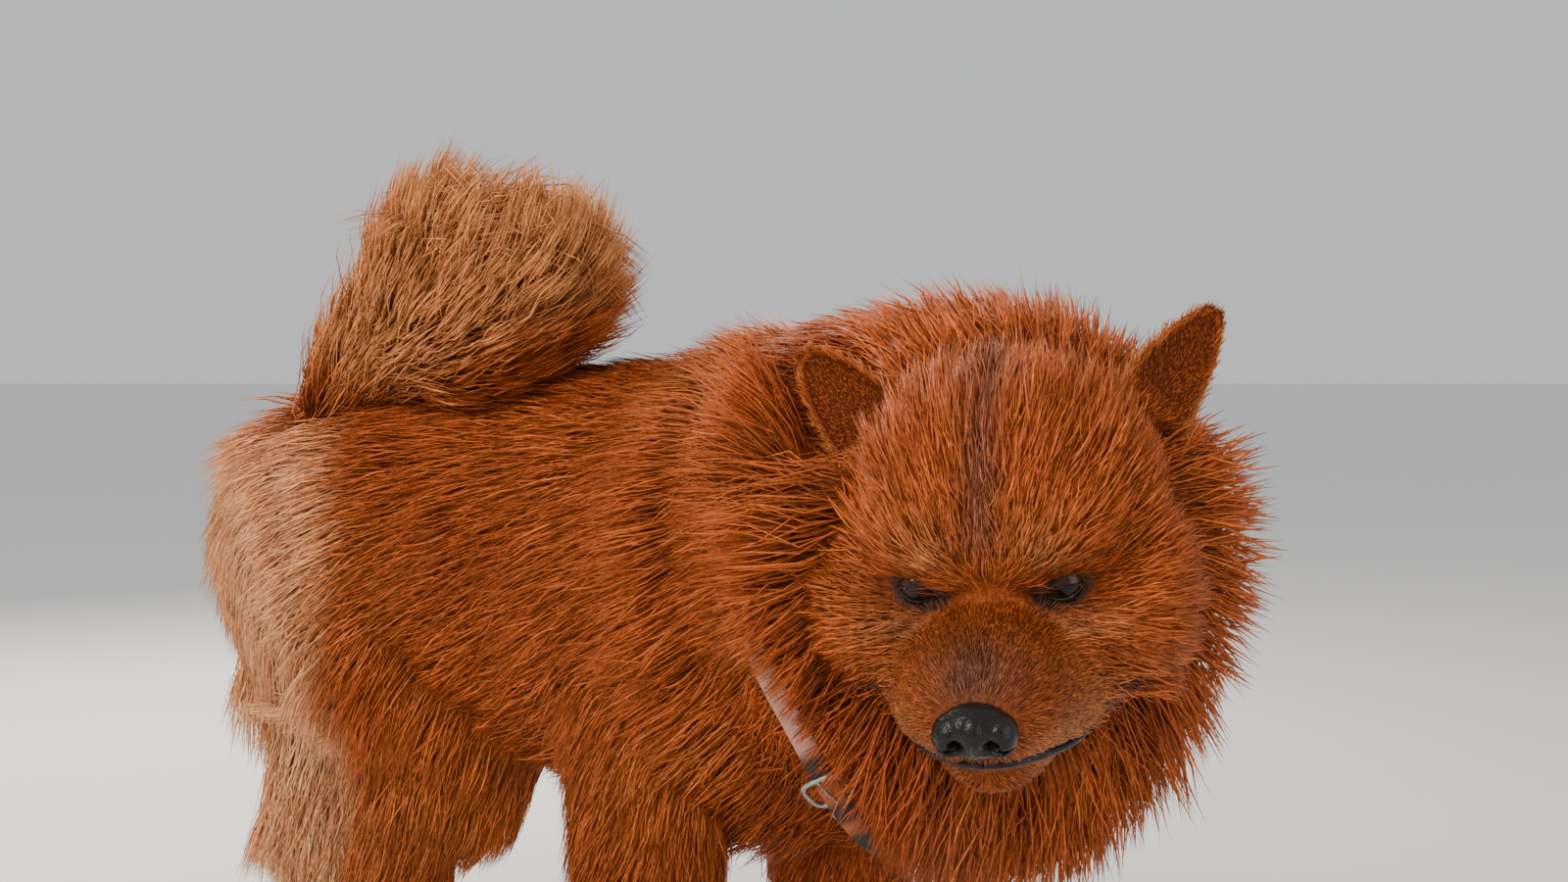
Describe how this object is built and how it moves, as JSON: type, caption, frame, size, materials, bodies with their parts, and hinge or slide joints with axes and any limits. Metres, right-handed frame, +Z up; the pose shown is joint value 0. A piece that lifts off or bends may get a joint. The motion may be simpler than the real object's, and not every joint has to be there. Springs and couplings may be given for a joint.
{
  "type": "chow chow model",
  "caption": "Life-size standing chow chow with its head turned over its right shoulder, a plumed tail on its back and a band round its neck.",
  "frame": {"origin": "centre of the bounding box on the floor, under the animal", "axes": "+Z up, +X along the body towards the forequarters, the right flank faces -Y"},
  "size_m": [0.7564, 0.6472, 0.6521],
  "materials": {
    "coat_red": "matt",
    "coat_tail": "matt",
    "coat_cream": "matt",
    "nose_leather": "satin",
    "eye": "gloss",
    "band": "matt",
    "buckle": "satin"
  },
  "bodies": {
    "root": {"head": "coat_red", "neck": "coat_red", "torso": "coat_red", "tail": "coat_tail", "leg_fore_right": "coat_red", "leg_fore_left": "coat_red", "leg_hind_right": "coat_red", "leg_hind_left": "coat_cream", "ear_right": "coat_red", "ear_left": "coat_red", "nose": "nose_leather", "eye_right": "eye", "eye_left": "eye", "collar_band": "band", "collar_buckle": "buckle"}
  },
  "joints": []
}
